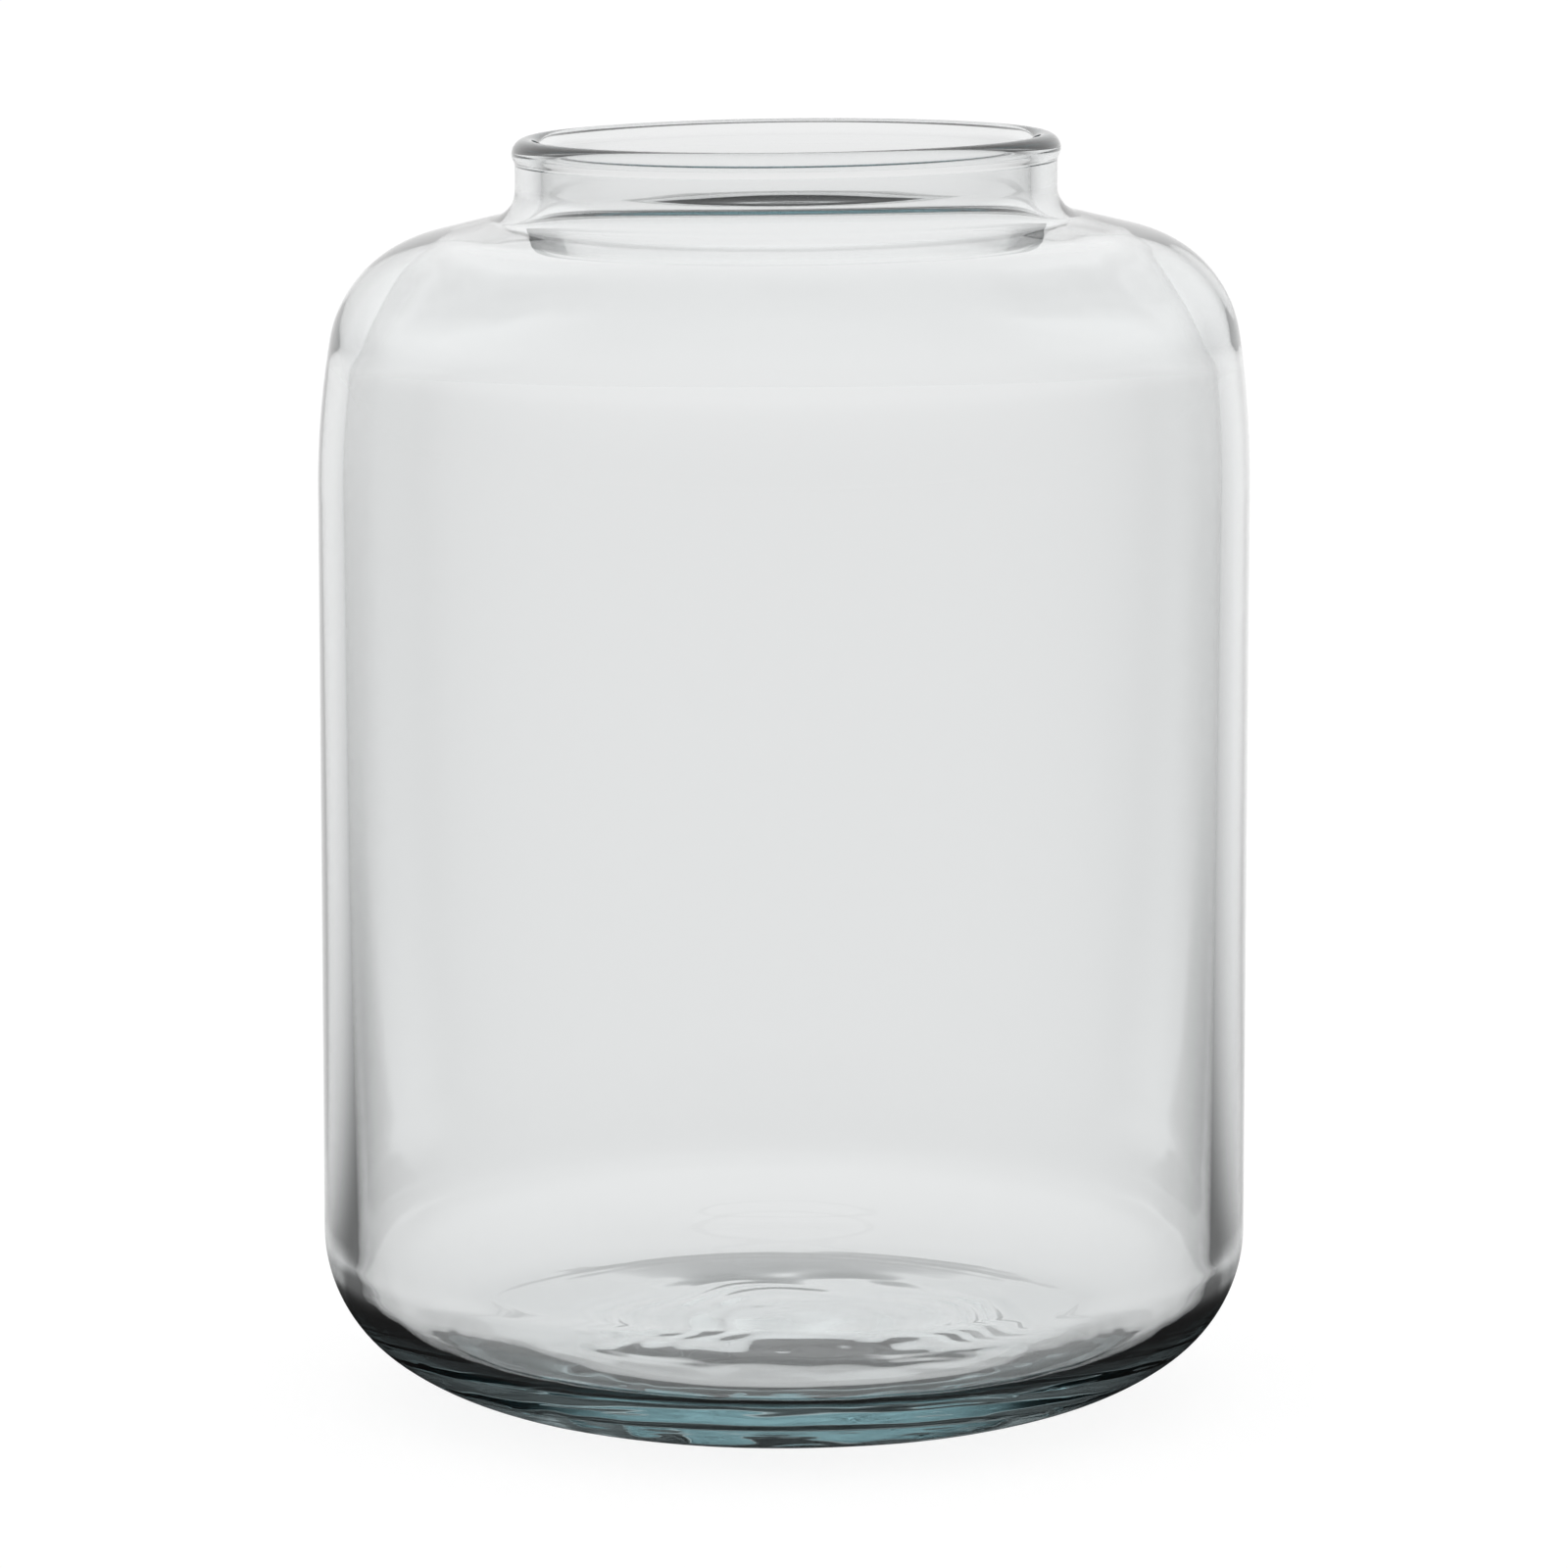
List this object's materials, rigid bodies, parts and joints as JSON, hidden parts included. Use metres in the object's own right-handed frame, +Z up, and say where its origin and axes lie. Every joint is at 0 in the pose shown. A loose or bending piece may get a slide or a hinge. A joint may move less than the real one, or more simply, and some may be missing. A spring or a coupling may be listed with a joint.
{
  "type": "vase",
  "caption": "Clear blown glass vase: a straight round body with a bowl heel and a thick floor, a soft shoulder, a short wide neck and a rolled bead lip.",
  "frame": {"origin": "the middle of the foot, in the plane that the vase stands on", "axes": "+Z up along the vase's axis of revolution; X and Y are any two level directions, as the vase is round"},
  "size_m": [0.15, 0.15, 0.205],
  "materials": {
    "clear_glass": "fire-polished clear glass"
  },
  "bodies": {
    "root": {"glass_vase": "clear_glass"}
  },
  "joints": []
}
